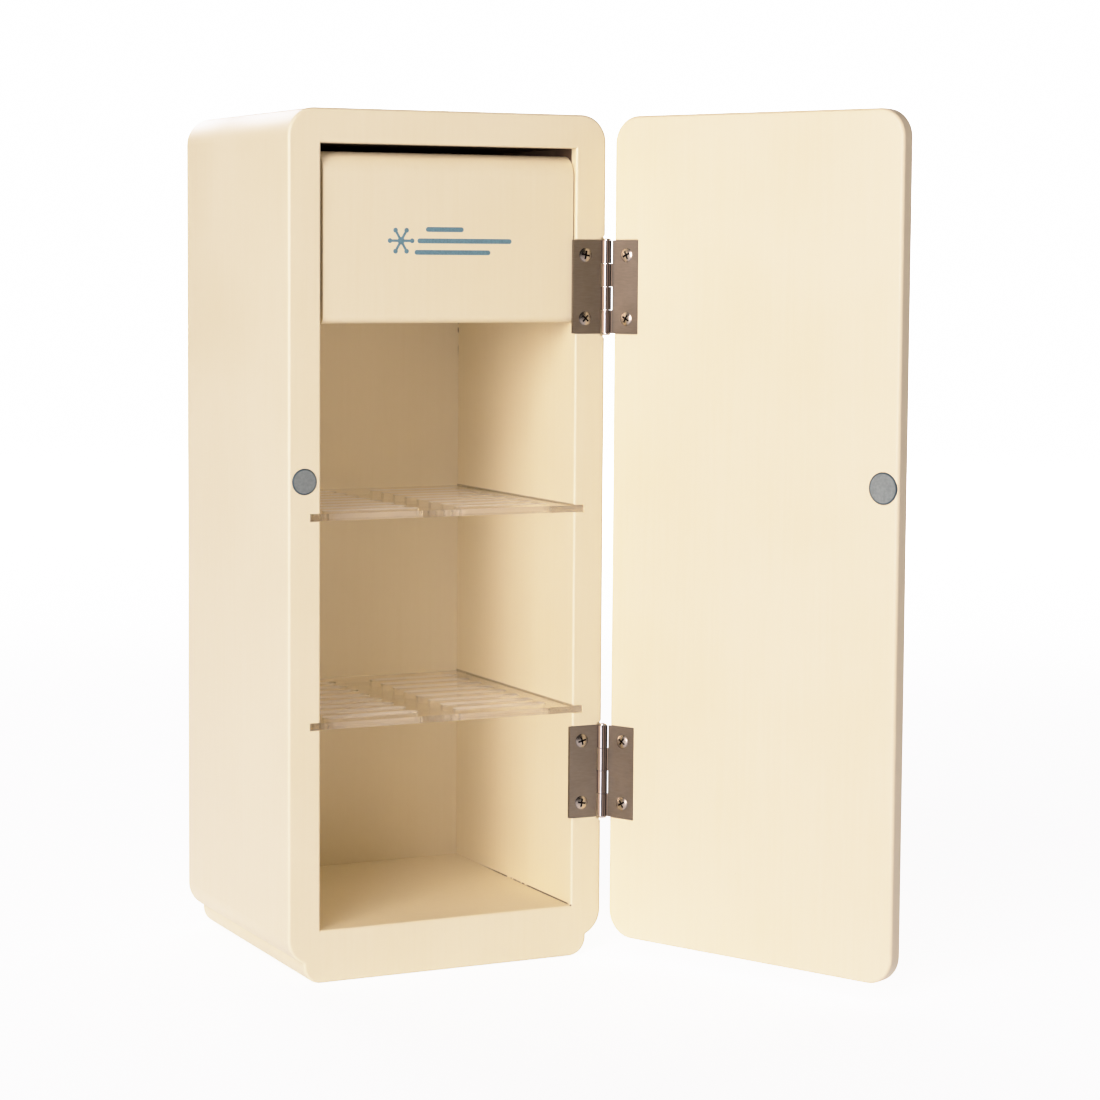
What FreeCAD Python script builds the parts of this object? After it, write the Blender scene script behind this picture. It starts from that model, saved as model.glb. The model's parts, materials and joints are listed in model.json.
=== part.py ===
import FreeCAD, Part
import math
import os

# Toy refrigerator: a painted board cabinet with a hinged door, a small freezer drawer and two clear
# shelves that slide in grooves. Millimetres; X to the right, Y into the depth, Z up.
# Everything is built with the cabinet's front face at Y = 0 and the door closed. At export the door is
# turned to its rest angle and the whole model is moved, so that the origin is the centre of the
# plinth's underside.

# ---- Driving dimensions ----

# Cabinet
cabinet_width = 91.5
cabinet_height = 228.0
cabinet_depth = 78.0
board = 9.0
corner_radius = 7.3
edge_rounding = 0.8
mouth_rounding = 0.6
back_board = 3.0
back_rebate = 4.0
back_recess = 0.3
back_fit_gap = 0.15

# Plinth
plinth_height = 5.0
plinth_inset = 4.4
plinth_corner_radius = 4.9
plinth_notch_radius = 0.35

# Clear shelves and their grooves
shelf_undersides = {"upper_shelf": 121.6, "lower_shelf": 67.0}
shelf_thickness = 1.8
groove_height = 2.0
groove_depth = 3.0
shelf_end_gap = 0.15
shelf_back_gap = 0.4
slot_rows = 8
slot_pitch = 8.2
slot_first_row = 8.9
slot_width = 4.0
slot_inner_end = 5.3
slot_outer_margin = 4.0

# Freezer floor and drawer
divider_thickness = 4.0
divider_underside = 173.5
divider_front = 10.0
divider_housing = 2.0
drawer_front_thickness = 6.0
drawer_front_bottom = 172.6
drawer_front_top = 217.0
drawer_front_recess = 1.0
drawer_front_left_gap = 1.0
drawer_front_right_gap = 0.4
drawer_front_top_rounding = 5.5
drawer_front_bottom_rounding = 2.0
drawer_side_gap = 1.8
drawer_wall = 3.0
drawer_base = 2.5
drawer_wall_height = 28.0
drawer_rear_gap = 5.0
drawer_running_gap = 0.3

# Butt hinges, with four knuckles each
hinge_heights = {"upper": 182.2, "lower": 50.6}
hinge_length = 25.0
leaf_thickness = 0.8
leaf_reach = 9.9
knuckle_count = 4
knuckle_diameter = 2.5
knuckle_gap = 0.12
knuckle_cutback = 1.6
pin_diameter = 1.2
pin_clearance = 0.05
pin_head_diameter = 2.2
pin_head_height = 0.5
pin_head_rounding = 0.4
axis_outset = 0.1
mortise_gap = 0.15
relief_width = 1.6
relief_depth = 1.3
relief_end_gap = 0.7

# Countersunk screws
screw_from_axis = 6.2
screw_spacing = 17.0
screw_head_diameter = 3.8
screw_head_depth = 0.9
screw_dome_height = 0.3
screw_shank_diameter = 2.0
screw_point_length = 1.2
cabinet_screw_length = 8.0
door_screw_length = 4.4
recess_length = 2.3
recess_width = 0.5
recess_depth = 0.6

# Door
door_thickness = 5.2
door_hinge_edge = 2.0
door_bottom = 5.3
door_top = 227.7
door_inner_rounding = 0.9
door_outer_rounding = 1.6
door_rest_angle = 115.5

# Magnets of the catch
cabinet_magnet_diameter = 6.6
door_magnet_diameter = 8.0
magnet_height_on_cabinet = 131.9
magnet_height_on_door = 132.4
magnet_depth = 2.5
magnet_stand_out = 0.15
magnet_edge_chamfer = 0.15
magnet_pocket_gap = 0.12

# Bow handle on the outside of the door
handle_from_free_edge = 13.6
handle_height = 132.0
handle_width = 5.0
handle_projection = 11.0
handle_bar_thickness = 2.4
handle_bow_half_height = 15.0
handle_bow_taper = 3.0
handle_corner_wall = 1.9
handle_foot_length = 7.0
handle_foot_thickness = 1.6
handle_screw_from_bow = 3.85
handle_outer_bend = 4.0
handle_inner_bend = 2.0
handle_edge_rounding = 0.5
handle_screw_length = 4.4

# How far the cutting shapes run past the faces that they cut, and how near counts as touching
overrun = 1.0
near = 0.01

# ---- Values worked out from the driving dimensions ----

half_width = cabinet_width / 2
half_opening = half_width - board
carcass_bottom = plinth_height
floor_top = carcass_bottom + board
ceiling = cabinet_height - board
inner_depth = cabinet_depth - back_board

knuckle_radius = knuckle_diameter / 2
knuckle_length = hinge_length / knuckle_count
axis_x = half_width + axis_outset
axis_y = leaf_thickness - knuckle_radius
closed_gap = -2 * axis_y

door_inner_face = -closed_gap
door_outer_face = door_inner_face - door_thickness
door_right = axis_x - door_hinge_edge
door_left = -half_width
magnet_x = -(half_width - board / 2)
handle_x = door_left + handle_from_free_edge

divider_top = divider_underside + divider_thickness
drawer_front_back = drawer_front_recess + drawer_front_thickness
drawer_half_width = half_opening - drawer_side_gap
drawer_bottom = divider_top + drawer_running_gap
drawer_back = inner_depth - drawer_rear_gap

to_origin = FreeCAD.Vector(0, -cabinet_depth / 2, 0)
hinge_axis = FreeCAD.Vector(axis_x, axis_y, 0)
up = FreeCAD.Vector(0, 0, 1)

os.makedirs("parts", exist_ok=True)


# ---- Helpers ----

def block(x_range, y_range, z_range):
    """A box between two coordinates along each axis."""
    low = FreeCAD.Vector(x_range[0], y_range[0], z_range[0])
    size = [r[1] - r[0] for r in (x_range, y_range, z_range)]
    return Part.makeBox(size[0], size[1], size[2], low)


def prism_along_y(points_xz, y_range):
    """A polygon given in X and Z, pushed along Y."""
    corners = [FreeCAD.Vector(x, y_range[0], z) for x, z in points_xz]
    face = Part.Face(Part.makePolygon(corners + corners[:1]))
    return face.extrude(FreeCAD.Vector(0, y_range[1] - y_range[0], 0))


def prism_along_x(points_yz, x_range):
    """A polygon given in Y and Z, pushed along X."""
    corners = [FreeCAD.Vector(x_range[0], y, z) for y, z in points_yz]
    face = Part.Face(Part.makePolygon(corners + corners[:1]))
    return face.extrude(FreeCAD.Vector(x_range[1] - x_range[0], 0, 0))


def cylinder_along_y(x, z, y_range, diameter):
    """A round bar along Y."""
    base = FreeCAD.Vector(x, y_range[0], z)
    return Part.makeCylinder(diameter / 2, y_range[1] - y_range[0], base, FreeCAD.Vector(0, 1, 0))


def straight_edges(shape, direction):
    """The straight edges that run along a direction."""
    found = []
    for edge in shape.Edges:
        if edge.Curve.TypeId == "Part::GeomLine" and abs(edge.Curve.Direction.dot(direction)) > 0.999:
            found.append(edge)
    return found


def edges_at_y(shape, y):
    """The edges that lie wholly in the plane of one Y."""
    return [e for e in shape.Edges if abs(e.BoundBox.YMin - y) < near and abs(e.BoundBox.YMax - y) < near]


def edges_at_y_and_z(shape, y, z):
    """The edges along X that have one Y and one Z."""
    found = []
    for edge in edges_at_y(shape, y):
        if abs(edge.BoundBox.ZMin - z) < near and abs(edge.BoundBox.ZMax - z) < near:
            found.append(edge)
    return found


def rounded_panel(x_range, y_range, z_range, radius):
    """A board whose four corners are rounded as seen from the front."""
    plain = block(x_range, y_range, z_range)
    return plain.makeFillet(radius, straight_edges(plain, FreeCAD.Vector(0, 1, 0)))


def half_turned(shape):
    """The shape turned by half a turn about the vertical axis through X = 0, Y = 0."""
    turned = shape.copy()
    turned.rotate(FreeCAD.Vector(0, 0, 0), up, 180)
    return turned


def moved(shape, x, y, z):
    """A copy of the shape, moved."""
    copy = shape.copy()
    copy.translate(FreeCAD.Vector(x, y, z))
    return copy


def save(name, shape):
    """Write one node, moved so that the model's origin is under the middle of the plinth."""
    placed = moved(shape, *to_origin)
    if not placed.isValid() or placed.Volume <= 0:
        raise ValueError(name + " is not a sound solid")
    placed.exportStep("parts/" + name + ".step")


def save_on_door(name, shape):
    """Write one node of the door, turned about the hinge pins to the rest angle."""
    turned = shape.copy()
    turned.rotate(hinge_axis, up, door_rest_angle)
    save(name, turned)


# ---- Screws ----

def screw(length, turn):
    """A countersunk screw along +Y with a domed cross-recessed head, its rim at Y = 0.

    Returns the screw and the plain body that its hole is cut with."""
    head_radius = screw_head_diameter / 2
    shank_radius = screw_shank_diameter / 2
    rim = FreeCAD.Vector(head_radius, 0, 0)
    neck = FreeCAD.Vector(shank_radius, screw_head_depth, 0)
    shoulder = FreeCAD.Vector(shank_radius, length - screw_point_length, 0)
    tip = FreeCAD.Vector(0, length, 0)
    centre = FreeCAD.Vector(0, 0, 0)
    crown = FreeCAD.Vector(0, -screw_dome_height, 0)
    dome_radius = (head_radius ** 2 + screw_dome_height ** 2) / (2 * screw_dome_height)
    half_angle = math.asin(head_radius / dome_radius) / 2
    on_dome = FreeCAD.Vector(
        dome_radius * math.sin(half_angle),
        dome_radius - screw_dome_height - dome_radius * math.cos(half_angle),
        0,
    )

    def spun(edges):
        face = Part.Face(Part.Wire(edges))
        return face.revolve(centre, FreeCAD.Vector(0, 1, 0), 360)

    below_rim = [
        Part.makeLine(rim, neck),
        Part.makeLine(neck, shoulder),
        Part.makeLine(shoulder, tip),
    ]
    body = spun([Part.makeLine(centre, rim)] + below_rim + [Part.makeLine(tip, centre)])
    dome = Part.Arc(crown, on_dome, rim).toShape()
    whole = spun([dome] + below_rim + [Part.makeLine(tip, crown)])

    slot_y = (-screw_dome_height - overrun, -screw_dome_height + recess_depth)
    arm = (-recess_length / 2, recess_length / 2)
    flank = (-recess_width / 2, recess_width / 2)
    recess = block(arm, slot_y, flank).fuse(block(flank, slot_y, arm))
    recess.rotate(centre, FreeCAD.Vector(0, 1, 0), turn)
    return whole.cut(recess), body


def screw_set(places, y, length, turns, into_depth):
    """A set of screws at places (X, Z) in the plane of one Y, pointing into +Y or, if not, into -Y.

    Returns the screws as one node and the bodies that cut their holes."""
    screws = []
    holes = []
    for (x, z), turn in zip(places, turns):
        made, body = screw(length, turn)
        if not into_depth:
            made = half_turned(made)
            body = half_turned(body)
        screws.append(moved(made, x, y, z))
        holes.append(moved(body, x, y, z))
    return Part.makeCompound(screws), Part.makeCompound(holes)


def hinge_screw_places(height):
    """Where the two screws of one hinge leaf sit, on the cabinet's side of the closed hinge."""
    x = axis_x - screw_from_axis
    return [(x, height + screw_spacing / 2), (x, height - screw_spacing / 2)]


# ---- Hinges ----

def knuckle(height, index, gap):
    """One knuckle of a hinge, counted from the top, shortened by a gap at each end."""
    top = height + hinge_length / 2 - index * knuckle_length
    base = FreeCAD.Vector(axis_x, axis_y, top - knuckle_length + gap)
    return Part.makeCylinder(knuckle_radius, knuckle_length - 2 * gap, base)


def hinge_leaf(height, y_range, own_knuckles, screw_holes):
    """A leaf: a flat plate with its own knuckles, cut back where the other leaf's knuckles turn."""
    z_range = (height - hinge_length / 2, height + hinge_length / 2)
    leaf = block((axis_x - leaf_reach, axis_x), y_range, z_range)
    for index in range(knuckle_count):
        if index in own_knuckles:
            leaf = leaf.fuse(knuckle(height, index, knuckle_gap / 2))
        else:
            top = z_range[1] - index * knuckle_length
            span = (top - knuckle_length - knuckle_gap / 2, top + knuckle_gap / 2)
            wide = (axis_x - knuckle_cutback, axis_x + knuckle_diameter)
            leaf = leaf.cut(block(wide, (axis_y - knuckle_diameter, axis_y + knuckle_diameter), span))
    bore_base = FreeCAD.Vector(axis_x, axis_y, z_range[0] - overrun)
    bore = Part.makeCylinder(pin_diameter / 2 + pin_clearance, hinge_length + 2 * overrun, bore_base)
    return leaf.removeSplitter().cut(bore).cut(screw_holes)


def hinge_pin(height):
    """A pin through all the knuckles, with a low rounded head at each end."""
    low = FreeCAD.Vector(axis_x, axis_y, height - hinge_length / 2)
    pin = Part.makeCylinder(pin_diameter / 2, hinge_length, low)
    for end, direction in ((low, -up), (low + up * hinge_length, up)):
        head = Part.makeCylinder(pin_head_diameter / 2, pin_head_height, end, direction)
        top = (end + direction * pin_head_height).z
        outer = [e for e in head.Edges if abs(e.BoundBox.ZMin - top) < near]
        pin = pin.fuse(head.makeFillet(pin_head_rounding, outer))
    return pin.removeSplitter()


def cabinet_hinge_recess(height):
    """The mortise for a cabinet leaf, and the notch with rounded ends that clears the knuckles."""
    half = hinge_length / 2 + mortise_gap
    left = axis_x - leaf_reach - mortise_gap
    beyond = half_width + overrun
    mortise = block((left, beyond), (-overrun, leaf_thickness), (height - half, height + half))
    inner = axis_x - relief_width
    flare = half_width - inner
    long_half = hinge_length / 2 + relief_end_gap
    tool = block((inner, beyond), (-overrun, relief_depth), (height - long_half, height + long_half))
    for side in (-1, 1):
        end = height + side * long_half
        flared = block((inner, beyond), (-overrun, relief_depth), sorted((end, end + side * flare)))
        kept = cylinder_along_y(inner, end + side * flare, (-overrun, relief_depth), 2 * flare)
        tool = tool.fuse(flared.cut(kept))
    return mortise.fuse(tool)


def door_hinge_recess(height):
    """The mortise for a door leaf in the inner face of the closed door."""
    half = hinge_length / 2 + mortise_gap
    left = axis_x - leaf_reach - mortise_gap
    y_range = (door_inner_face - leaf_thickness, door_inner_face + overrun)
    return block((left, axis_x), y_range, (height - half, height + half))


# ---- Magnets ----

def magnet(z, face, diameter, into_depth):
    """A disc magnet let into a face, standing out by a hair."""
    sign = 1 if into_depth else -1
    y_range = sorted((face - sign * magnet_stand_out, face + sign * magnet_depth))
    disc = cylinder_along_y(magnet_x, z, y_range, diameter)
    return disc.makeChamfer(magnet_edge_chamfer, edges_at_y(disc, face - sign * magnet_stand_out))


def magnet_pocket(z, face, diameter, into_depth):
    """The blind hole that a magnet is glued into."""
    sign = 1 if into_depth else -1
    y_range = sorted((face - sign * overrun, face + sign * magnet_depth))
    return cylinder_along_y(magnet_x, z, y_range, diameter + 2 * magnet_pocket_gap)


# ---- Screws that the cabinet and the door share places with ----

cabinet_screws = {}
door_screws = {}
turns_of_heads = {"upper": ((12, 40), (65, 30)), "lower": ((75, 10), (35, 60))}
for name, height in hinge_heights.items():
    places = hinge_screw_places(height)
    cabinet_turns, door_turns = turns_of_heads[name]
    cabinet_screws[name] = screw_set(places, 0, cabinet_screw_length, cabinet_turns, True)
    door_screws[name] = screw_set(places, door_inner_face, door_screw_length, door_turns, False)

# ---- Cabinet carcass, rounded as one body and then cut into its boards ----

whole_depth = (0, cabinet_depth)
carcass_outline = rounded_panel(
    (-half_width, half_width), whole_depth, (carcass_bottom, cabinet_height), corner_radius
)
plinth_half = half_width - plinth_inset
plinth_block = block((-plinth_half, plinth_half), whole_depth, (0, plinth_height + corner_radius))
lower_corners = [
    e for e in straight_edges(plinth_block, FreeCAD.Vector(0, 1, 0)) if e.BoundBox.ZMax < near
]
plinth_block = plinth_block.makeFillet(plinth_corner_radius, lower_corners)
outside = carcass_outline.fuse(plinth_block).removeSplitter()

notch_edges = []
for edge in straight_edges(outside, FreeCAD.Vector(0, 1, 0)):
    middle = edge.CenterOfMass
    on_plinth_side = abs(abs(middle.x) - plinth_half) < near
    if on_plinth_side and carcass_bottom < middle.z < carcass_bottom + corner_radius:
        notch_edges.append(edge)
outside = outside.makeFillet(plinth_notch_radius, notch_edges)
outside = outside.makeFillet(edge_rounding, edges_at_y(outside, 0) + edges_at_y(outside, cabinet_depth))

through_y = (-overrun, cabinet_depth + overrun)
opening = block((-half_opening, half_opening), through_y, (floor_top, ceiling))
shell = outside.cut(opening)
mouth_edges = []
for edge in edges_at_y(shell, 0):
    middle = edge.CenterOfMass
    if abs(middle.x) < half_opening + near and floor_top - near < middle.z < ceiling + near:
        mouth_edges.append(edge)
shell = shell.makeFillet(mouth_rounding, mouth_edges)
rebate_x = (-half_opening - back_rebate, half_opening + back_rebate)
rebate_z = (floor_top - back_rebate, ceiling + back_rebate)
shell = shell.cut(block(rebate_x, (inner_depth, cabinet_depth + overrun), rebate_z))

carcass = shell.common(carcass_outline)
save("plinth", shell.cut(carcass_outline).removeSplitter())

mitre_reach = 2 * board
mitre_corners = {
    "top_board": [(-1, 1, 0), (1, 1, 0), (1, 1, 1), (-1, 1, 1)],
    "bottom_board": [(-1, -1, 0), (1, -1, 0), (1, -1, 1), (-1, -1, 1)],
    "left_side_board": [(-1, -1, 0), (-1, 1, 0), (-1, 1, 1), (-1, -1, 1)],
    "right_side_board": [(1, -1, 0), (1, 1, 0), (1, 1, 1), (1, -1, 1)],
}


def mitred_board(corners):
    """The part of the carcass on one side of the opening, between two mitres."""
    points = []
    for side, level, outward in corners:
        x = side * (half_opening + outward * mitre_reach)
        z = (ceiling if level > 0 else floor_top) + level * outward * mitre_reach
        points.append((x, z))
    return carcass.common(prism_along_y(points, through_y)).removeSplitter()


boards = {name: mitred_board(corners) for name, corners in mitre_corners.items()}

groove_half = half_opening + groove_depth
for underside in shelf_undersides.values():
    groove_bottom = underside - (groove_height - shelf_thickness) / 2
    groove_z = (groove_bottom, groove_bottom + groove_height)
    groove = block((-groove_half, groove_half), (-overrun, inner_depth), groove_z)
    for name in ("left_side_board", "right_side_board"):
        boards[name] = boards[name].cut(groove)

divider_half = half_opening + divider_housing
divider = block(
    (-divider_half, divider_half), (divider_front, inner_depth), (divider_underside, divider_top)
)
for name in ("left_side_board", "right_side_board"):
    boards[name] = boards[name].cut(divider)

for name, height in hinge_heights.items():
    boards["right_side_board"] = boards["right_side_board"].cut(cabinet_hinge_recess(height))
    boards["right_side_board"] = boards["right_side_board"].cut(cabinet_screws[name][1])
boards["left_side_board"] = boards["left_side_board"].cut(
    magnet_pocket(magnet_height_on_cabinet, 0, cabinet_magnet_diameter, True)
)
for name, shape in boards.items():
    save(name, shape)

save("freezer_floor_board", divider)
save(
    "back_board",
    block(
        (rebate_x[0] + back_fit_gap, rebate_x[1] - back_fit_gap),
        (inner_depth, cabinet_depth - back_recess),
        (rebate_z[0] + back_fit_gap, rebate_z[1] - back_fit_gap),
    ),
)
save("cabinet_magnet", magnet(magnet_height_on_cabinet, 0, cabinet_magnet_diameter, True))

# ---- Clear shelves, each with two columns of slots ----

def shelf(underside):
    """A clear plate with slots in two columns either side of a solid middle band."""
    half = groove_half - shelf_end_gap
    z_range = (underside, underside + shelf_thickness)
    plate = block((-half, half), (0, inner_depth - shelf_back_gap), z_range)
    slot_radius = slot_width / 2
    inner_centre = slot_inner_end + slot_radius
    outer_centre = half_opening - slot_outer_margin - slot_radius
    through = (underside - overrun, underside + shelf_thickness + overrun)
    for row in range(slot_rows):
        y = slot_first_row + row * slot_pitch
        for side in (-1, 1):
            ends = sorted((side * inner_centre, side * outer_centre))
            slot = block(ends, (y - slot_radius, y + slot_radius), through)
            for x in ends:
                base = FreeCAD.Vector(x, y, through[0])
                slot = slot.fuse(Part.makeCylinder(slot_radius, through[1] - through[0], base))
            plate = plate.cut(slot)
    return plate.removeSplitter()


for name, underside in shelf_undersides.items():
    save(name, shelf(underside))

# ---- Freezer drawer ----

drawer_front = block(
    (drawer_front_left_gap - half_opening, half_opening - drawer_front_right_gap),
    (drawer_front_recess, drawer_front_back),
    (drawer_front_bottom, drawer_front_top),
)
drawer_front = drawer_front.makeFillet(
    drawer_front_top_rounding, edges_at_y_and_z(drawer_front, drawer_front_recess, drawer_front_top)
)
drawer_front = drawer_front.makeFillet(
    drawer_front_bottom_rounding, edges_at_y_and_z(drawer_front, drawer_front_recess, drawer_front_bottom)
)
save("drawer_front", drawer_front)

wall_top = drawer_bottom + drawer_wall_height
inner_half = drawer_half_width - drawer_wall
wall_z = (drawer_bottom, wall_top)
wall_y = (drawer_front_back, drawer_back)
save("drawer_left_side", block((-drawer_half_width, -inner_half), wall_y, wall_z))
save("drawer_right_side", block((inner_half, drawer_half_width), wall_y, wall_z))
save("drawer_back", block((-inner_half, inner_half), (drawer_back - drawer_wall, drawer_back), wall_z))
save(
    "drawer_bottom",
    block(
        (-inner_half, inner_half),
        (drawer_front_back, drawer_back - drawer_wall),
        (drawer_bottom, drawer_bottom + drawer_base),
    ),
)

# ---- Hinges: the cabinet's leaves hold the first and third knuckles, the door's the others ----

for name, height in hinge_heights.items():
    screws, holes = cabinet_screws[name]
    save(name + "_hinge_cabinet_leaf", hinge_leaf(height, (0, leaf_thickness), (0, 2), holes))
    save(name + "_hinge_cabinet_screws", screws)
    save(name + "_hinge_pin", hinge_pin(height))
    screws, holes = door_screws[name]
    door_leaf_y = (door_inner_face - leaf_thickness, door_inner_face)
    save_on_door(name + "_hinge_door_leaf", hinge_leaf(height, door_leaf_y, (1, 3), holes))
    save_on_door(name + "_hinge_door_screws", screws)

# ---- Handle ----

def bow_handle():
    """A bent strap in the plane of Y and Z with a flat foot at each end."""
    face = door_outer_face
    out = face - handle_projection
    bow = handle_bow_half_height
    bar = handle_bar_thickness
    crown = bow - handle_bow_taper
    outer = [(face, -bow), (face, bow), (out, crown), (out, -crown)]
    hollow_half = bow - bar
    hollow_crown = crown - handle_corner_wall
    inner = [
        (face + overrun, -hollow_half),
        (face + overrun, hollow_half),
        (out + bar, hollow_crown),
        (out + bar, -hollow_crown),
    ]
    width = (handle_x - handle_width / 2, handle_x + handle_width / 2)
    across = FreeCAD.Vector(1, 0, 0)
    solid_bow = prism_along_x(outer, width)
    bends = [e for e in straight_edges(solid_bow, across) if abs(e.CenterOfMass.y - out) < near]
    solid_bow = solid_bow.makeFillet(handle_outer_bend, bends)
    hollow = prism_along_x(inner, (width[0] - overrun, width[1] + overrun))
    bends = [e for e in straight_edges(hollow, across) if abs(e.CenterOfMass.y - out - bar) < near]
    hollow = hollow.makeFillet(handle_inner_bend, bends)
    strap = solid_bow.cut(hollow)
    for side in (-1, 1):
        z_range = sorted((side * (bow - bar), side * (bow + handle_foot_length)))
        strap = strap.fuse(block(width, (face - handle_foot_thickness, face), z_range))
    strap = strap.removeSplitter()
    front_edges = []
    for edge in strap.Edges:
        on_side = abs(abs(edge.CenterOfMass.x - handle_x) - handle_width / 2) < near
        if on_side and edge.BoundBox.XLength < near and edge.BoundBox.YMin < face - near:
            front_edges.append(edge)
    return moved(strap.makeFillet(handle_edge_rounding, front_edges), 0, 0, handle_height)


foot_middle = handle_bow_half_height + handle_screw_from_bow
foot_face = door_outer_face - handle_foot_thickness
handle_screw_places = [(handle_x, handle_height + foot_middle), (handle_x, handle_height - foot_middle)]
handle_screws, handle_screw_holes = screw_set(
    handle_screw_places, foot_face, handle_screw_length, (20, 55), True
)
save_on_door("door_handle", bow_handle().cut(handle_screw_holes))
save_on_door("door_handle_screws", handle_screws)

# ---- Door board and its magnet ----

door = rounded_panel(
    (door_left, door_right), (door_outer_face, door_inner_face), (door_bottom, door_top), corner_radius
)
door = door.makeFillet(door_inner_rounding, edges_at_y(door, door_inner_face))
door = door.makeFillet(door_outer_rounding, edges_at_y(door, door_outer_face))
for name, height in hinge_heights.items():
    door = door.cut(door_hinge_recess(height)).cut(door_screws[name][1])
door = door.cut(handle_screw_holes)
door = door.cut(magnet_pocket(magnet_height_on_door, door_inner_face, door_magnet_diameter, False))
save_on_door("door_board", door)
save_on_door(
    "door_magnet", magnet(magnet_height_on_door, door_inner_face, door_magnet_diameter, False)
)
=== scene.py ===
import json
import math

import bpy
from mathutils import Matrix, Vector
from mathutils.geometry import delaunay_2d_cdt


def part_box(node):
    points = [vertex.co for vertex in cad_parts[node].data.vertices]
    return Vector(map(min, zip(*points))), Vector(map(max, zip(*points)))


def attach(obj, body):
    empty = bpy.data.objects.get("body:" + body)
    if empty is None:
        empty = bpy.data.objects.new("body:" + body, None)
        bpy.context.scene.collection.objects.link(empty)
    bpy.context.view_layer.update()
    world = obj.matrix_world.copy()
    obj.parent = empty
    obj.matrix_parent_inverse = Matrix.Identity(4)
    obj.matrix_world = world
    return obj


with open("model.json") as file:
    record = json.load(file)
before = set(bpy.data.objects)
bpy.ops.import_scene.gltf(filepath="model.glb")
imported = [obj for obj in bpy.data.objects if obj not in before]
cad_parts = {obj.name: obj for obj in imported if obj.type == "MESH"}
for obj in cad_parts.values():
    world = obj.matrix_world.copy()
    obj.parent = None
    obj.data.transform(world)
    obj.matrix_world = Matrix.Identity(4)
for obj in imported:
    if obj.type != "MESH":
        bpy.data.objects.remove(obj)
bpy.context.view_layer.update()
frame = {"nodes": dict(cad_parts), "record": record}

# Looks of a toy refrigerator in cream-painted board. Metres; X right, Y into the depth, Z up, with the
# origin under the middle of the plinth. Scales of noise are features per metre.

# ---- Driving values ----

MM = 0.001

CAMERA_PLACE = (-0.3165, -0.7316, 0.1898)
CAMERA_YAW = 25.45
CAMERA_PITCH = -4.47
CAMERA_ROLL = 0.32
CAMERA_LENS = 94.7
SENSOR_WIDTH = 36.0
CAMERA_SHIFT = (0.05, -0.06)
CAMERA_CLIP = (0.05, 50.0)

# Most of a noise lies in this range
NOISE_RANGE = (0.3, 0.7)
SMOOTH_ANGLE = 30.0

# Paint: cream in soft clouds and brushed streaks, with a few specks
CREAM_LIGHT = (0.880, 0.768, 0.515)
CREAM_DARK = (0.858, 0.742, 0.482)
# The door's copy of the paint is a little darker, as painted shade
DOOR_SHADE_TINT = (0.985, 0.965, 0.955)
PAINT_ROUGHNESS = (0.38, 0.48)
PAINT_RELIEF = (0.10, 0.05 * MM)
CLOUD_SCALE = 22.0
CLOUD_SHARE = 0.65
STREAK_SCALE = 900.0
STREAK_STRETCH = (1, 1, 0.035)
STREAK_HEIGHT = 0.7
ORANGE_PEEL_SCALE = 520.0
SPECK_SCALE = 75.0
SPECK_CHANCE = (0.80, 0.82)
SPECK_EDGE = (0.010, 0.018)
SPECK_BROWN = (0.45, 0.34, 0.22)
SPECK_STRENGTH = 0.45
SPECK_DEPTH = 2.0

# Dark gaps in the corners, and painted shadow lines on the side walls along the tops of the clear
# shelves, which cast too little shade. Each is broken where a noise is below a level. Each fades in from
# a first place to a second: the floor's along Y, the back corner's at two drops below the ceiling, and
# the shelves' in front of the back board.
GAP_AND_SHADOW_DARK = (0.10, 0.07, 0.04)
SEAM_REACH = 0.35 * MM
SEAM_STRENGTH = 0.9
SEAM_BREAK_SCALE = 260.0
SEAM_BREAK_FADE = 0.12
FLOOR_SEAM_BREAKS = 0.36
FLOOR_SEAM_FADE = (22 * MM, 4 * MM)
BACK_SEAM_BREAKS = 0.40
BACK_SEAM_FADE = (14 * MM, 4 * MM)
SHELF_SHADOW_STRENGTH = 0.5
SHELF_SHADOW_LIFT = 0.1 * MM
SHELF_SHADOW_FADE = 1 * MM

# Bare board in the freezer compartment, kept very dark as painted shade for the gap above the drawer, and
# how far in from its mouth the paint ends
BARE_SHADED_DARK = (0.115, 0.070, 0.038)
BARE_SHADED_LIGHT = (0.175, 0.110, 0.062)
FIBRE_SCALE = 500.0
FIBRE_STRETCH = (0.4, 0.4, 1)
PAINTED_MOUTH = 3 * MM
BARE_SHADED_ABOVE_DRAWER = 3 * MM
BARE_SHADED_MARGIN = 1 * MM

# Metals: dark and light tones, and roughness
HAIR_SCALE = 2600.0
TARNISH_SCALE = 160.0
METAL_WEAR = 0.16
METAL_RELIEF = (0.15, 0.01 * MM)
UPRIGHT_BRUSH = (1, 1, 0.05)
LEAF_TONES = ((0.275, 0.230, 0.176), (0.330, 0.277, 0.214))
LEAF_ROUGHNESS = 0.40
LEAF_BRUSH = (0.2, 0.2, 1)
SCREW_TONES = ((0.48, 0.41, 0.32), (0.62, 0.54, 0.43))
SCREW_ROUGHNESS = 0.24
SCREW_BRUSH = (1, 1, 1)
SCREW_DOME = 0.3 * MM
# Painted shade in the screws' driver recesses, and the depths about the rim where it starts and ends
RECESS_SHADE = (0.012, 0.009, 0.007)
RECESS_EDGE = (-0.12 * MM, 0.06 * MM)
PIN_TONES = ((0.66, 0.61, 0.53), (0.78, 0.74, 0.66))
PIN_ROUGHNESS = 0.12
HANDLE_TONES = ((0.42, 0.37, 0.30), (0.52, 0.46, 0.38))
HANDLE_ROUGHNESS = 0.30
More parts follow.
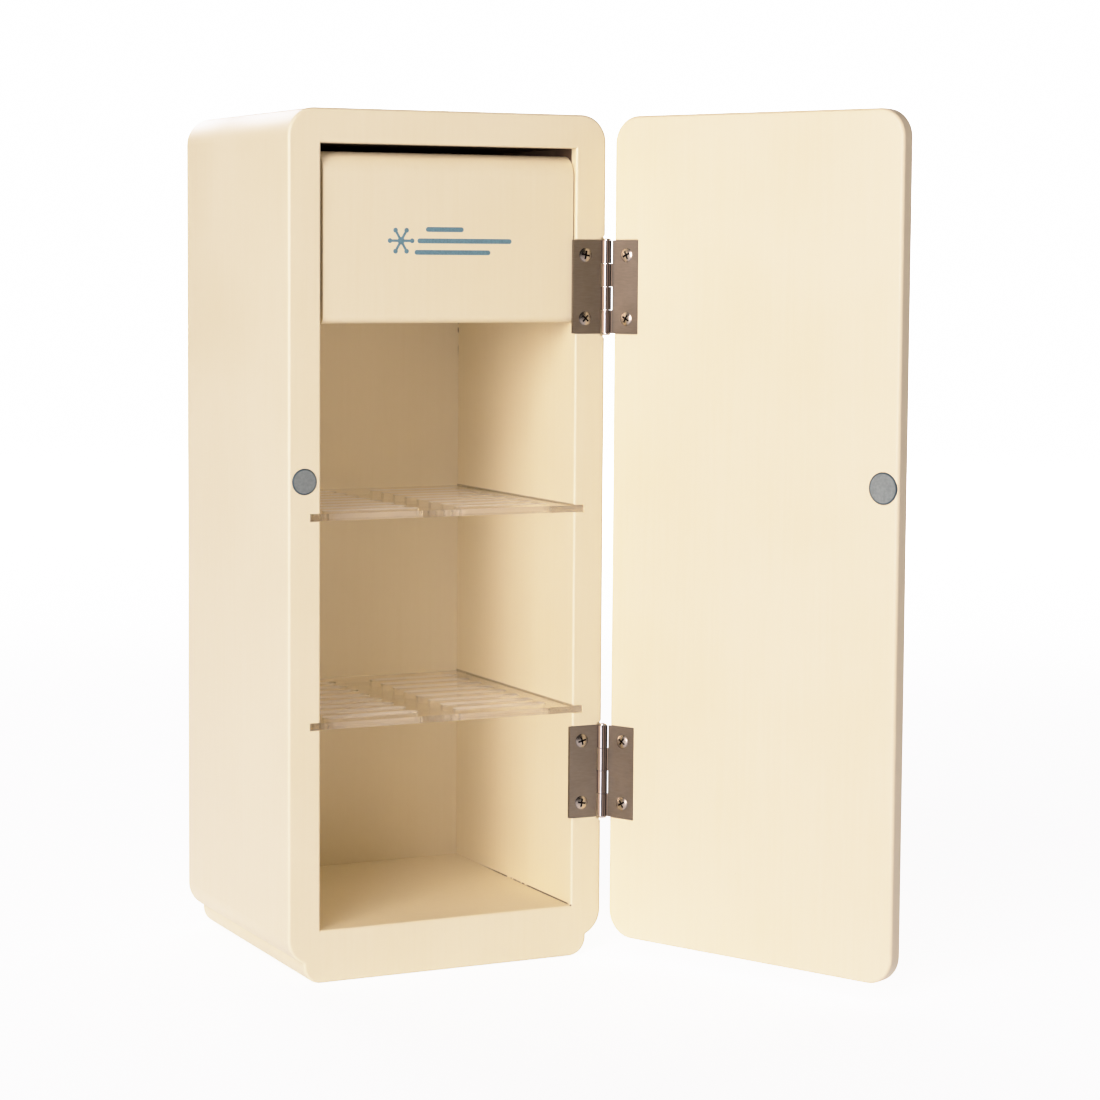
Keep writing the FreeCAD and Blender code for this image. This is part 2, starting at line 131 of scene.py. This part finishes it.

# Painted reflections round the hinge knuckles: stripes of highlight and dark, set across a fixed
# direction in the object, that stand in for a studio mirrored in the polished roll. Each has a place from
# left to right, and a tone. They give way to the satin leaf between two distances from the pin's axis.
ACROSS_KNUCKLES = (0.89, -0.456, 0.0)
REFLECTED_DARK = (0.004, 0.003, 0.002)
BROWN = (0.25, 0.17, 0.115)
TAN = (0.58, 0.41, 0.27)
PAINTED_HIGHLIGHT = (0.98, 0.97, 0.95)
KNUCKLE_REFLECTIONS = (
    (0.00, REFLECTED_DARK), (0.07, TAN), (0.11, TAN), (0.16, BROWN), (0.21, TAN),
    (0.27, PAINTED_HIGHLIGHT), (0.34, PAINTED_HIGHLIGHT), (0.39, REFLECTED_DARK), (0.50, REFLECTED_DARK),
    (0.53, BROWN), (0.60, BROWN), (0.64, REFLECTED_DARK), (0.71, REFLECTED_DARK),
    (0.75, BROWN), (0.79, BROWN), (0.83, REFLECTED_DARK), (1.00, REFLECTED_DARK),
)
KNUCKLE_METAL = 0.25
KNUCKLE_ROUGHNESS = 0.34
KNUCKLE_EDGE = (1.35 * MM, 1.7 * MM)

# Magnets: dull discs, with painted shade on the chamfer, which starts and ends this far in from the edge
MAGNET_TONES = ((0.240, 0.269, 0.243), (0.296, 0.327, 0.294))
MAGNET_SCALE = 1100.0
MAGNET_METAL = 0.35
MAGNET_ROUGHNESS = (0.42, 0.55)
MAGNET_RELIEF = (0.25, 0.02 * MM)
MAGNET_CHAMFER_SHADE = (0.070, 0.110, 0.118)
MAGNET_CHAMFER_EDGE = (0.40 * MM, 0.15 * MM)

# Clear shelves: polished faces and frosted slots
SHEET_TINT = (0.90, 0.84, 0.73)
SHEET_IOR = 1.49
SHEET_ROUGHNESS = (0.03, 0.09)
SHEET_ALPHA = 0.74
SHEET_SHADOW_ALPHA = 0.06
SCRATCH_SCALE = 700.0
SCRATCH_STRETCH = (1, 0.08, 1)
SLOT_TINT = (0.92, 0.84, 0.68)
SLOT_FROST = 0.45
SLOT_CLOUDING = 0.22
SLOT_WALL_SLOPE = (0.3, 0.7)
CLEAR_FRONT = 0.5 * MM

# A generic printed mark on the freezer front: a snow crystal and three plain stripes. Each stripe has a
# left end, a right end and a height above the crystal's middle, in millimetres.
MARK_CENTRE = (-13.9 * MM, 194.1 * MM)
CRYSTAL_ARMS = 6
CRYSTAL_REACH = 3.15 * MM
CRYSTAL_HUB = 0.95 * MM
CRYSTAL_DOT = 0.6 * MM
CRYSTAL_LINE = 0.6 * MM
STRIPES = ((-6.2, 3.4, 3.0), (-8.6, 17.4, 0.0), (-9.4, 11.2, -3.0))
STRIPE_WIDTH = 1.2 * MM
ROUND_END_STEPS = 10
DOT_LENGTH = 0.001 * MM
OUTLINE_MERGE = 0.0001 * MM
INK_THICKNESS = 0.05 * MM
INK_BLUE = (0.125, 0.240, 0.262)
INK_WORN = 1.25
INK_SCALE = 2400.0
INK_ROUGHNESS = 0.5

# Softboxes: azimuth and elevation in degrees, and watts. Azimuth 0 is in front of the object.
SOFTBOXES = {
    "key": (-62, 8, 17.0),
    "key_forward": (-50, 8, 14.0),
    "key_above": (-45, 35, 14.0),
    "front_above": (-20, 62, 2.7),
    "right_fill": (45, 8, 4.6),
    "right_side": (122, 10, 15.0),
    "rear": (178, 22, 16.0),
    "rear_right": (150, 22, 12.0),
}
SOFTBOX_TINT = (0.985, 0.895, 0.968)
SOFTBOX_SIZE = 0.8
SOFTBOX_DISTANCE = 2.0
SOFTBOX_AIM = (0, 0, 0.114)

# The floor, its glow as seen, and the light that it throws back
FLOOR_HALF = 8.0
FLOOR_DROP = 0.2 * MM
FLOOR_GREYS = (0.88, 0.90)
FLOOR_SCALE = 3.0
FLOOR_ROUGHNESS = 0.9
FLOOR_GLOW = 1.0
FLOOR_GLOW_FAR = 3.0
FLOOR_GLOW_REACH = (0.45, 1.3)
FLOOR_BOUNCE = 0.30
FLOOR_BOUNCE_REACH = (0.15, 0.70)
FLOOR_BOUNCE_TINT = (0.55, 0.65, 1.0)
WHITE = (1, 1, 1)
BACKDROP_GLOW = 3.0
ROOM_LIGHT = 0.01

# The tone curve: how sharply it bends over, and the level where it ends
SHOULDER_POWER = 4.0
SHOULDER_END = 3.0
SHOULDER_STEPS = 12


# ---- Node helpers ----

class Tree:
    """A small helper that adds nodes to a material or a world, and links them."""

    def __init__(self, tree):
        self.tree = tree

    def add(self, kind, inputs=None, **settings):
        """Add a node, set its properties, and set or link its inputs by name or number."""
        made = self.tree.nodes.new(kind)
        for name, value in settings.items():
            setattr(made, name, value)
        for name, value in (inputs or {}).items():
            self.put(made.inputs[name], value)
        return made

    def put(self, socket, value):
        """Link a socket to another one, or set its value."""
        if isinstance(value, bpy.types.NodeSocket):
            self.tree.links.new(value, socket)
        else:
            socket.default_value = value

    def math(self, operation, *values):
        """One arithmetic step."""
        return self.add("ShaderNodeMath", dict(enumerate(values)), operation=operation).outputs[0]

    def vector_math(self, operation, *values):
        """One vector step, whose result is a vector."""
        return self.add("ShaderNodeVectorMath", dict(enumerate(values)), operation=operation).outputs[0]

    def vector_measure(self, operation, *values):
        """One vector step, whose result is a number."""
        made = self.add("ShaderNodeVectorMath", dict(enumerate(values)), operation=operation)
        return made.outputs["Value"]

    def ramp(self, value, low, high, out_low=0.0, out_high=1.0):
        """Map a value smoothly from one range to another."""
        made = self.add(
            "ShaderNodeMapRange",
            {"Value": value, "From Min": low, "From Max": high, "To Min": out_low, "To Max": out_high},
            interpolation_type="SMOOTHSTEP",
        )
        return made.outputs["Result"]

    def mix(self, factor, a, b):
        """Mix two colours."""
        made = self.add("ShaderNodeMix", {"Factor": factor}, data_type="RGBA")
        self.put(made.inputs[6], a)
        self.put(made.inputs[7], b)
        return made.outputs[2]

    def noise(self, place, scale, detail=3.0, stretch=(1, 1, 1)):
        """Noise around 0.5, with its features stretched by 1 / stretch along each axis."""
        moved = self.add("ShaderNodeMapping", {"Vector": place, "Scale": stretch})
        inputs = {"Vector": moved.outputs[0], "Scale": scale, "Detail": detail}
        return self.add("ShaderNodeTexNoise", inputs).outputs[0]

    def vary(self, noise, low, high):
        """A number that varies with a noise, from low to high."""
        return self.ramp(noise, *NOISE_RANGE, low, high)

    def blend(self, noise, dark, light):
        """A colour that varies with a noise, from dark to light."""
        return self.mix(self.ramp(noise, *NOISE_RANGE), colour(dark), colour(light))


def new_material(name):
    """A material with its Principled shader, and the object's own coordinates."""
    material = bpy.data.materials.new(name)
    material.use_nodes = True
    material.node_tree.nodes.clear()
    tree = Tree(material.node_tree)
    shader = tree.add("ShaderNodeBsdfPrincipled")
    output = tree.add("ShaderNodeOutputMaterial")
    tree.put(output.inputs["Surface"], shader.outputs[0])
    place = tree.add("ShaderNodeTexCoord").outputs["Object"]
    return material, tree, shader, place


def colour(rgb):
    """A colour with full alpha."""
    return (rgb[0], rgb[1], rgb[2], 1.0)


def bump(tree, shader, height, strength, distance):
    """Give a shader a bump from a height."""
    made = tree.add("ShaderNodeBump", {"Strength": strength, "Distance": distance, "Height": height})
    tree.put(shader.inputs["Normal"], made.outputs[0])


# ---- Paint ----

def from_line(tree, place, first, second):
    """The distance from a line where two coordinates have given values."""
    axes = tree.add("ShaderNodeSeparateXYZ", {0: place})
    parts = []
    for axis, value in (first, second):
        offset = tree.math("SUBTRACT", axes.outputs[axis], value)
        parts.append(tree.math("MULTIPLY", offset, offset))
    return tree.math("SQRT", tree.math("ADD", parts[0], parts[1]))


def along(tree, place, axis):
    """One coordinate of the place."""
    return tree.add("ShaderNodeSeparateXYZ", {0: place}).outputs[axis]


def inside(tree, place, low, high):
    """1 inside a box given by two corners, and 0 outside it."""
    hold = 1.0
    for axis, start, end in zip("XYZ", low, high):
        value = along(tree, place, axis)
        hold = tree.math("MULTIPLY", tree.math("GREATER_THAN", value, start), hold)
        hold = tree.math("MULTIPLY", tree.math("LESS_THAN", value, end), hold)
    return hold


def specks(tree, place):
    """1 in small round specks, in some of the cells of a random pattern, and 0 elsewhere."""
    cells = tree.add("ShaderNodeTexVoronoi", {"Vector": place, "Scale": SPECK_SCALE})
    random = tree.add("ShaderNodeSeparateColor", {0: cells.outputs["Color"]}).outputs[0]
    chance = tree.ramp(random, *SPECK_CHANCE)
    return tree.math("MULTIPLY", tree.ramp(cells.outputs["Distance"], *SPECK_EDGE, 1.0, 0.0), chance)


def dark_line(tree, place, first, second, fade, breaks):
    """How dark a broken line is: two coordinates place it, and along a third axis it fades in."""
    axis, start, full = fade
    line = tree.ramp(from_line(tree, place, first, second), SEAM_REACH * 0.5, SEAM_REACH, 1.0, 0.0)
    broken = tree.ramp(tree.noise(place, SEAM_BREAK_SCALE, detail=2.0), breaks, breaks + SEAM_BREAK_FADE)
    part = tree.ramp(along(tree, place, axis), start, full)
    return tree.math("MULTIPLY", line, tree.math("MULTIPLY", broken, part))


def paint(name, seams_and_shadows=(), bare_shaded=None, tint=(1, 1, 1)):
    """Satin cream paint, brushed along the grain, over filled and sanded board.

    The seam lines are dark gaps in corners, and painted shadow lines along the shelves; inside the given
    box the board has no paint and is kept very dark as painted shade; and the tint multiplies the paint's
    colour, which on the door is painted shade."""
    material, tree, shader, place = new_material(name)
    clouds = tree.noise(place, CLOUD_SCALE, detail=4.0)
    streaks = tree.noise(place, STREAK_SCALE, stretch=STREAK_STRETCH)
    film = tree.math(
        "ADD", tree.math("MULTIPLY", clouds, CLOUD_SHARE), tree.math("MULTIPLY", streaks, 1 - CLOUD_SHARE)
    )
    dark, light = [[c * t for c, t in zip(cream, tint)] for cream in (CREAM_DARK, CREAM_LIGHT)]
    tone = tree.blend(film, dark, light)

    speck = specks(tree, place)
    tone = tree.mix(tree.math("MULTIPLY", speck, SPECK_STRENGTH), tone, colour(SPECK_BROWN))

    # Dark gaps in corners, and painted shadow lines along the shelves
    for first, second, fade, breaks, strength in seams_and_shadows:
        line = dark_line(tree, place, first, second, fade, breaks)
        tone = tree.mix(tree.math("MULTIPLY", line, strength), tone, colour(GAP_AND_SHADOW_DARK))

    if bare_shaded:
        # Unpainted board in the freezer compartment, kept very dark as painted shade
        fibres = tree.noise(place, FIBRE_SCALE, detail=4.0, stretch=FIBRE_STRETCH)
        tone = tree.mix(inside(tree, place, *bare_shaded), tone, tree.blend(fibres, BARE_SHADED_DARK, BARE_SHADED_LIGHT))

    tree.put(shader.inputs["Base Color"], tone)
    tree.put(shader.inputs["Roughness"], tree.vary(clouds, *PAINT_ROUGHNESS))
    orange_peel = tree.noise(place, ORANGE_PEEL_SCALE, detail=2.0)
    height = tree.math("ADD", orange_peel, tree.math("MULTIPLY", streaks, STREAK_HEIGHT))
    height = tree.math("SUBTRACT", height, tree.math("MULTIPLY", speck, SPECK_DEPTH))
    bump(tree, shader, height, *PAINT_RELIEF)
    return material


# ---- Metals, magnets and clear sheet ----

def satin_metal(name, tones, roughness, brushed):
    """Plated steel, brushed along one axis, with a little tarnish."""
    material, tree, shader, place = new_material(name)
    hair = tree.noise(place, HAIR_SCALE, stretch=brushed)
    cloud = tree.noise(place, TARNISH_SCALE)
    wear = tree.math("ADD", tree.math("MULTIPLY", hair, 0.5), tree.math("MULTIPLY", cloud, 0.5))
    tree.put(shader.inputs["Base Color"], tree.blend(wear, *tones))
    shader.inputs["Metallic"].default_value = 1.0
    dull = tree.math("MULTIPLY", wear, METAL_WEAR)
    tree.put(shader.inputs["Roughness"], tree.math("ADD", dull, roughness - METAL_WEAR / 2))
    bump(tree, shader, hair, *METAL_RELIEF)
    return material, tree, shader, place


def leaf_material(name, pin_place):
    """A satin hinge leaf whose rolled knuckles carry painted reflections, in stripes of highlight and
    dark along the roll.
    """
    material, tree, shader, place = satin_metal(name, LEAF_TONES, LEAF_ROUGHNESS, LEAF_BRUSH)
    distance = from_line(tree, place, ("X", pin_place[0]), ("Y", pin_place[1]))
    knuckle = tree.ramp(distance, *KNUCKLE_EDGE, 1.0, 0.0)
    # Painted reflections: the knuckles take their tones from a ramp across a fixed direction of their
    # normals
    normal = tree.add("ShaderNodeTexCoord").outputs["Normal"]
    across = tree.vector_measure("DOT_PRODUCT", normal, ACROSS_KNUCKLES)
    bands = tree.add("ShaderNodeValToRGB", {0: tree.math("MULTIPLY_ADD", across, 0.5, 0.5)})
    stops = bands.color_ramp.elements
    for stop, (position, tone) in zip(stops, (KNUCKLE_REFLECTIONS[0], KNUCKLE_REFLECTIONS[-1])):
        stop.position = position
        stop.color = colour(tone)
    for position, tone in KNUCKLE_REFLECTIONS[1:-1]:
        stops.new(position).color = colour(tone)
    satin = shader.inputs["Base Color"].links[0].from_socket
    tree.put(shader.inputs["Base Color"], tree.mix(knuckle, satin, bands.outputs["Color"]))
    rough = shader.inputs["Roughness"].links[0].from_socket
    flat_part = tree.math("MULTIPLY", tree.math("SUBTRACT", 1.0, knuckle), rough)
    knuckle_part = tree.math("MULTIPLY", knuckle, KNUCKLE_ROUGHNESS)
    tree.put(shader.inputs["Roughness"], tree.math("ADD", flat_part, knuckle_part))
    tree.put(shader.inputs["Metallic"], tree.math("MULTIPLY_ADD", knuckle, KNUCKLE_METAL - 1.0, 1.0))
    return material


def screw_material(name, axis, rim):
    """Nickel-plated screws, with painted shade in the driver recesses below the rim of the head."""
    material, tree, shader, place = satin_metal(name, SCREW_TONES, SCREW_ROUGHNESS, SCREW_BRUSH)
    depth = tree.vector_measure("DOT_PRODUCT", place, axis)
    # Painted shade below the rim of each head, in the driver recess
    recess_shade = tree.ramp(depth, rim + RECESS_EDGE[0], rim + RECESS_EDGE[1])
    plate = shader.inputs["Base Color"].links[0].from_socket
    tree.put(shader.inputs["Base Color"], tree.mix(recess_shade, plate, colour(RECESS_SHADE)))
    return material


def magnet_material(name, node, axis):
    """A dull zinc-plated disc with painted shade on its chamfer, for a node whose disc lies square to an
    axis.
    """
    material, tree, shader, place = new_material(name)
    grain = tree.noise(place, MAGNET_SCALE)
    low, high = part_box(node)
    radius = (high.z - low.z) / 2
    offset = tree.vector_math("SUBTRACT", place, (low + high) / 2)
    away = tree.vector_measure("LENGTH", tree.vector_math("CROSS_PRODUCT", offset, axis))
    # Painted shade round the chamfer of the disc
    rim = tree.ramp(away, radius - MAGNET_CHAMFER_EDGE[0], radius - MAGNET_CHAMFER_EDGE[1])
    face = tree.blend(grain, *MAGNET_TONES)
    tree.put(shader.inputs["Base Color"], tree.mix(rim, face, colour(MAGNET_CHAMFER_SHADE)))
    shader.inputs["Metallic"].default_value = MAGNET_METAL
    tree.put(shader.inputs["Roughness"], tree.vary(grain, *MAGNET_ROUGHNESS))
    bump(tree, shader, grain, *MAGNET_RELIEF)
    return material


def clear_sheet(name, front):
    """Clear warm sheet with polished faces, and slot walls that are slightly frosted.

    It casts almost no shadow, so the light in the cabinet passes through it."""
    material, tree, shader, place = new_material(name)
    normal = tree.add("ShaderNodeTexCoord").outputs["Normal"]
    upright = tree.math("ABSOLUTE", along(tree, normal, "Z"))
    behind = tree.math("GREATER_THAN", along(tree, place, "Y"), front + CLEAR_FRONT)
    cut = tree.math("MULTIPLY", tree.ramp(upright, *SLOT_WALL_SLOPE, 1.0, 0.0), behind)
    tree.put(shader.inputs["Base Color"], tree.mix(cut, colour(SHEET_TINT), colour(SLOT_TINT)))
    clarity = tree.math("MULTIPLY_ADD", cut, -SLOT_CLOUDING, 1.0)
    tree.put(shader.inputs["Transmission Weight"], clarity)
    shader.inputs["IOR"].default_value = SHEET_IOR
    scratches = tree.noise(place, SCRATCH_SCALE, stretch=SCRATCH_STRETCH)
    polish = tree.vary(scratches, *SHEET_ROUGHNESS)
    tree.put(shader.inputs["Roughness"], tree.math("MULTIPLY_ADD", cut, SLOT_FROST, polish))
    path = tree.add("ShaderNodeLightPath")
    passing = tree.math("MAXIMUM", path.outputs["Is Shadow Ray"], path.outputs["Is Diffuse Ray"])
    tree.put(shader.inputs["Alpha"], tree.ramp(passing, 0.0, 1.0, SHEET_ALPHA, SHEET_SHADOW_ALPHA))
    return material


def ink(name):
    """A thin matt printed film."""
    material, tree, shader, place = new_material(name)
    grain = tree.noise(place, INK_SCALE)
    tree.put(shader.inputs["Base Color"], tree.blend(grain, INK_BLUE, [c * INK_WORN for c in INK_BLUE]))
    shader.inputs["Roughness"].default_value = INK_ROUGHNESS
    return material


# ---- Finishes of the CAD nodes ----

def smooth(obj):
    """Shade smooth, but keep sharp edges."""
    mesh = obj.data
    mesh.polygons.foreach_set("use_smooth", [True] * len(mesh.polygons))
    mesh.set_sharp_from_angle(angle=math.radians(SMOOTH_ANGLE))


def screw_depth(node, axis):
    """How deep the rims of a set of screw heads lie along an axis that runs into the board."""
    depths = [Vector(axis).dot(v.co) for v in frame["nodes"][node].data.vertices]
    return min(depths) + SCREW_DOME


joints = {joint["name"]: joint for joint in frame["record"]["behaviour"]["joints"]}
pin_place = joints["door_hinge"]["pos_m"]
rest_turn = -math.radians(joints["door_hinge"]["range_deg"][0])
into_cabinet = (0.0, 1.0, 0.0)
into_door = (math.sin(rest_turn), -math.cos(rest_turn), 0.0)
wall_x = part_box("right_side_board")[0].x
floor_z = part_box("bottom_board")[1].z
back_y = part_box("back_board")[0].y
front_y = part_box("right_side_board")[0].y
ceiling_z, freezer_floor_z = [corner.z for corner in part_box("freezer_floor_board")]
drawer_top_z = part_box("drawer_front")[1].z
# The box in the freezer compartment where the board is unpainted and kept dark as painted shade
freezer_low = (-wall_x - BARE_SHADED_MARGIN, front_y + PAINTED_MOUTH, freezer_floor_z - BARE_SHADED_MARGIN)
freezer_high = (wall_x + BARE_SHADED_MARGIN, back_y + BARE_SHADED_MARGIN, drawer_top_z + BARE_SHADED_ABOVE_DRAWER)

# Each seam or painted shadow line: the two coordinates that place it, the axis and range in which it
# fades in, the level below which it is broken, and its strength
back_fade = [ceiling_z - drop for drop in BACK_SEAM_FADE]
seams_and_shadows = [
    (("X", wall_x), ("Z", floor_z), ("Y", *FLOOR_SEAM_FADE), FLOOR_SEAM_BREAKS, SEAM_STRENGTH),
    (("X", wall_x), ("Y", back_y), ("Z", *back_fade), BACK_SEAM_BREAKS, SEAM_STRENGTH),
]
# Painted shadow lines on both side walls along the top of each shelf
for shelf in ("upper_shelf", "lower_shelf"):
    shelf_top = ("Z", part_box(shelf)[1].z + SHELF_SHADOW_LIFT)
    shelf_shadow_fade = ("Y", back_y + SHELF_SHADOW_FADE, back_y)
    for side in (-wall_x, wall_x):
        seams_and_shadows.append((("X", side), shelf_top, shelf_shadow_fade, 0.0, SHELF_SHADOW_STRENGTH))

cabinet_paint = paint("cabinet_paint", seams_and_shadows, (freezer_low, freezer_high))
# The door's copy of the cream paint, darkened a little as painted shade
door_shaded_paint = paint("door_shaded_paint", tint=DOOR_SHADE_TINT)
drawer_paint = paint("drawer_paint")
leaf_metal = leaf_material("leaf_metal", pin_place)
pin_metal = satin_metal("pin_metal", PIN_TONES, PIN_ROUGHNESS, UPRIGHT_BRUSH)[0]
handle_metal = satin_metal("handle_metal", HANDLE_TONES, HANDLE_ROUGHNESS, UPRIGHT_BRUSH)[0]
clear = clear_sheet("clear_sheet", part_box("upper_shelf")[0].y)


def finish_of(node, body):
    """The material of a CAD node, from its name and its body."""
    inward = into_cabinet if body == "cabinet" else into_door
    if node.endswith("shelf"):
        return clear
    if node.endswith("leaf"):
        return leaf_metal
    if node.endswith("pin"):
        return pin_metal
    if node in ("door_handle", "door_handle_screws"):
        return handle_metal
    if node.endswith("screws"):
        return screw_material(node + "_metal", inward, screw_depth(node, inward))
    if node.endswith("magnet"):
        return magnet_material(node + "_face", node, inward)
    return {"cabinet": cabinet_paint, "door": door_shaded_paint, "freezer_drawer": drawer_paint}[body]


for body, nodes in frame["record"]["behaviour"]["bodies"].items():
    for node in nodes:
        piece = frame["nodes"][node]
        piece.data.materials.clear()
        piece.data.materials.append(finish_of(node, body))
        # The clear sheets keep their flat faces, so that the slots look crisp
        if not node.endswith("shelf"):
            smooth(piece)


# ---- Printed mark ----

def stroke(a, b, width):
    """The outline of a line between two points, with round ends."""
    direction = b - a
    angle = math.atan2(direction.y, direction.x)
    outline = []
    for centre, start in ((b, angle - math.pi / 2), (a, angle + math.pi / 2)):
        for step in range(ROUND_END_STEPS + 1):
            turn = start + math.pi * step / ROUND_END_STEPS
            outline.append(centre + Vector((math.cos(turn), math.sin(turn))) * width / 2)
    return outline


def dot(centre, radius):
    """The outline of a round dot, drawn as a line with almost no length."""
    return stroke(centre, centre + Vector((DOT_LENGTH, 0)), radius * 2)


def printed(name, outlines, front):
    """One thin closed film that covers all the outlines, its back on the plane Y = front."""
    points, faces = [], []
    for outline in outlines:
        faces.append([len(points) + n for n in range(len(outline))])
        points.extend(outline)
    flat, _, triangles, _, _, _ = delaunay_2d_cdt(points, [], faces, 1, OUTLINE_MERGE)
    # An edge is on the rim when no other triangle runs along it the opposite way
    edges = [(triangle[n - 1], triangle[n]) for triangle in triangles for n in range(3)]
    directed = set(edges)
    rim = [(a, b) for a, b in edges if (b, a) not in directed]
    # The back, then the face lifted off it, then the walls round the rim
    count = len(flat)
    corners = [(p.x, y, p.y) for y in (front, front - INK_THICKNESS) for p in flat]
    shell = [triangle[::-1] for triangle in triangles]
    shell += [[n + count for n in triangle] for triangle in triangles]
    shell += [(b + count, a + count, a, b) for a, b in rim]
    mesh = bpy.data.meshes.new(name)
    mesh.from_pydata(corners, [], shell)
    obj = bpy.data.objects.new(name, mesh)
    bpy.context.scene.collection.objects.link(obj)
    mesh.materials.append(ink(name + "_ink"))
    return obj


middle = Vector(MARK_CENTRE)
outlines = []
for arm in range(CRYSTAL_ARMS):
    angle = math.radians(360 / CRYSTAL_ARMS * arm)
    tip = middle + Vector((math.cos(angle), math.sin(angle))) * CRYSTAL_REACH
    outlines.append(stroke(middle, tip, CRYSTAL_LINE))
    outlines.append(dot(tip, CRYSTAL_DOT))
outlines.append(dot(middle, CRYSTAL_HUB))
for start, end, offset in STRIPES:
    level = middle.y + offset * MM
    outlines.append(stroke(Vector((start * MM, level)), Vector((end * MM, level)), STRIPE_WIDTH))
mark = printed("freezer_mark", outlines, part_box("drawer_front")[0].y)
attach(mark, "freezer_drawer")

# ---- Camera ----

camera_data = bpy.data.cameras.new("camera")
camera_data.sensor_width = SENSOR_WIDTH
camera_data.lens = CAMERA_LENS
camera_data.shift_x, camera_data.shift_y = CAMERA_SHIFT
camera_data.clip_start, camera_data.clip_end = CAMERA_CLIP
camera = bpy.data.objects.new("camera", camera_data)
bpy.context.scene.collection.objects.link(camera)
turn = Matrix.Rotation(math.radians(-CAMERA_YAW), 4, "Z")
tilt = Matrix.Rotation(math.radians(90 + CAMERA_PITCH), 4, "X")
roll = Matrix.Rotation(math.radians(CAMERA_ROLL), 4, "Z")
camera.matrix_world = Matrix.Translation(CAMERA_PLACE) @ turn @ tilt @ roll
bpy.context.scene.camera = camera


# ---- Floor, light and background ----

def floor():
    """A plain pale floor that runs past every view."""
    mesh = bpy.data.meshes.new("floor")
    corners = [(-1, -1), (1, -1), (1, 1), (-1, 1)]
    mesh.from_pydata([(x * FLOOR_HALF, y * FLOOR_HALF, 0) for x, y in corners], [], [(0, 1, 2, 3)])
    obj = bpy.data.objects.new("floor", mesh)
    obj.location.z = -FLOOR_DROP
    bpy.context.scene.collection.objects.link(obj)
    material, tree, shader, place = new_material("floor_paper")
    shade = tree.noise(place, FLOOR_SCALE, detail=2.0)
    dark, light = [colour((grey, grey, grey)) for grey in FLOOR_GREYS]
    tree.put(shader.inputs["Base Color"], tree.mix(shade, dark, light))
    shader.inputs["Roughness"].default_value = FLOOR_ROUGHNESS
    seen = tree.add("ShaderNodeLightPath").outputs["Is Camera Ray"]
    unseen = tree.math("SUBTRACT", 1.0, seen)
    away = tree.vector_measure("LENGTH", place)
    glow = tree.math("MULTIPLY", seen, tree.ramp(away, *FLOOR_GLOW_REACH, FLOOR_GLOW, FLOOR_GLOW_FAR))
    bounce = tree.math("MULTIPLY", unseen, tree.ramp(away, *FLOOR_BOUNCE_REACH, FLOOR_BOUNCE, 0.0))
    tint = tree.mix(seen, colour(FLOOR_BOUNCE_TINT), colour(WHITE))
    tree.put(shader.inputs["Emission Color"], tint)
    tree.put(shader.inputs["Emission Strength"], tree.math("ADD", glow, bounce))
    mesh.materials.append(material)


def softbox(name, azimuth, elevation, power):
    """A square light that faces the object from an azimuth and an elevation."""
    a, e = math.radians(azimuth), math.radians(elevation)
    away = Vector((math.sin(a) * math.cos(e), -math.cos(a) * math.cos(e), math.sin(e)))
    data = bpy.data.lights.new(name, "AREA")
    data.size = SOFTBOX_SIZE
    data.energy = power
    data.color = SOFTBOX_TINT
    light = bpy.data.objects.new(name, data)
    light.location = Vector(SOFTBOX_AIM) + away * SOFTBOX_DISTANCE
    light.rotation_mode = "QUATERNION"
    light.rotation_quaternion = away.to_track_quat("Z", "Y")
    bpy.context.scene.collection.objects.link(light)


def backdrop():
    """A white background to look at, that gives the scene only a little light."""
    world = bpy.data.worlds.new("world")
    bpy.context.scene.world = world
    world.use_nodes = True
    world.node_tree.nodes.clear()
    sky = Tree(world.node_tree)
    white = sky.add("ShaderNodeBackground", {"Color": colour(WHITE), "Strength": BACKDROP_GLOW})
    dim = sky.add("ShaderNodeBackground", {"Color": colour(WHITE), "Strength": ROOM_LIGHT})
    ray = sky.add("ShaderNodeLightPath")
    both = sky.add("ShaderNodeMixShader", {0: ray.outputs["Is Camera Ray"]})
    sky.put(both.inputs[1], dim.outputs[0])
    sky.put(both.inputs[2], white.outputs[0])
    sky.add("ShaderNodeOutputWorld", {0: both.outputs[0]})


def shoulder(level):
    """Nearly straight at first, then bending over towards 1."""
    return level / (1 + level ** SHOULDER_POWER) ** (1 / SHOULDER_POWER)


def tone_curve(settings):
    """The Standard view with a soft shoulder, as a camera gives bright surfaces."""
    settings.view_transform = "Standard"
    settings.use_curve_mapping = True
    mapping = settings.curve_mapping
    mapping.clip_max_x = SHOULDER_END
    points = mapping.curves[3].points
    points[1].location = (SHOULDER_END, shoulder(SHOULDER_END))
    for step in range(1, SHOULDER_STEPS):
        level = SHOULDER_END * step / SHOULDER_STEPS
        points.new(level, shoulder(level))
    mapping.update()


floor()
for name, (azimuth, elevation, power) in SOFTBOXES.items():
    softbox(name, azimuth, elevation, power)
backdrop()
tone_curve(bpy.context.scene.view_settings)
